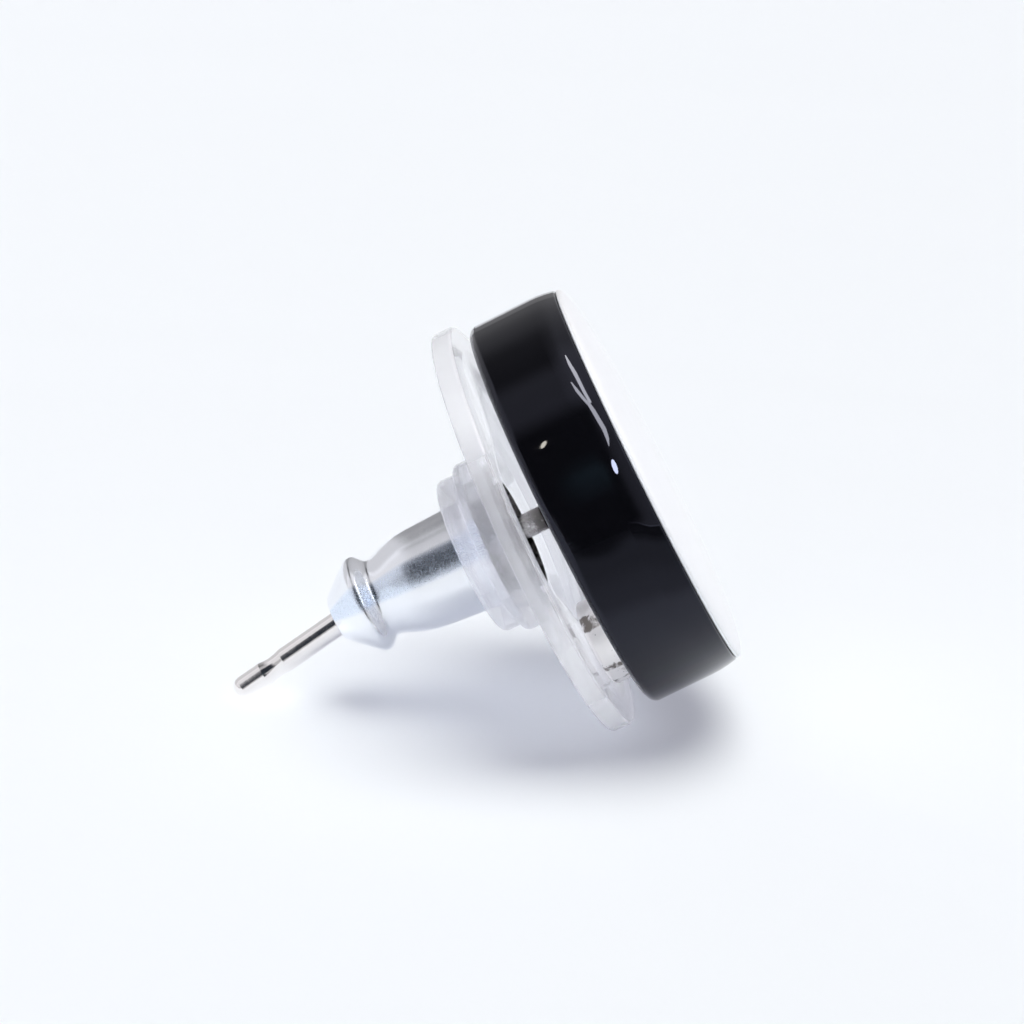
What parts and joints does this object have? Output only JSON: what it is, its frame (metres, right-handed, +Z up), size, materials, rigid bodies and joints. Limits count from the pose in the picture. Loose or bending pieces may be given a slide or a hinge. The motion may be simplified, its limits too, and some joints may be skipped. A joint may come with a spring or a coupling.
{
  "type": "button stud earring with clutch and comfort disc",
  "caption": "Round black-walled button stud earring with a pale domed front, lying on its post and the clear comfort disc of its bullet clutch.",
  "frame": {"origin": "on the surface the earring rests on, under the middle of its bounding box", "axes": "+Z up from the surface, +X horizontally the way the button faces, +Y completes a right-handed frame"},
  "size_m": [0.0148, 0.0126, 0.0125],
  "materials": {
    "black_gloss": "polished black",
    "pale_gloss": "polished white",
    "post_metal": "drawn and plated",
    "tag_metal": "satin",
    "clutch_metal": "tumbled satin",
    "clear_plastic": "clear, moulded"
  },
  "bodies": {
    "button": {"outer_ring": "black_gloss", "pale_core": "pale_gloss", "ear_post": "post_metal", "back_tag": "tag_metal"},
    "clutch": {"clutch_barrel": "clutch_metal", "comfort_disc": "clear_plastic"}
  },
  "joints": [
    {"name": "clutch_slide", "type": "slide", "parent": "button", "child": "clutch", "axis": [-0.7923, 0, -0.6101], "range_m": [0, 0.011]}
  ]
}
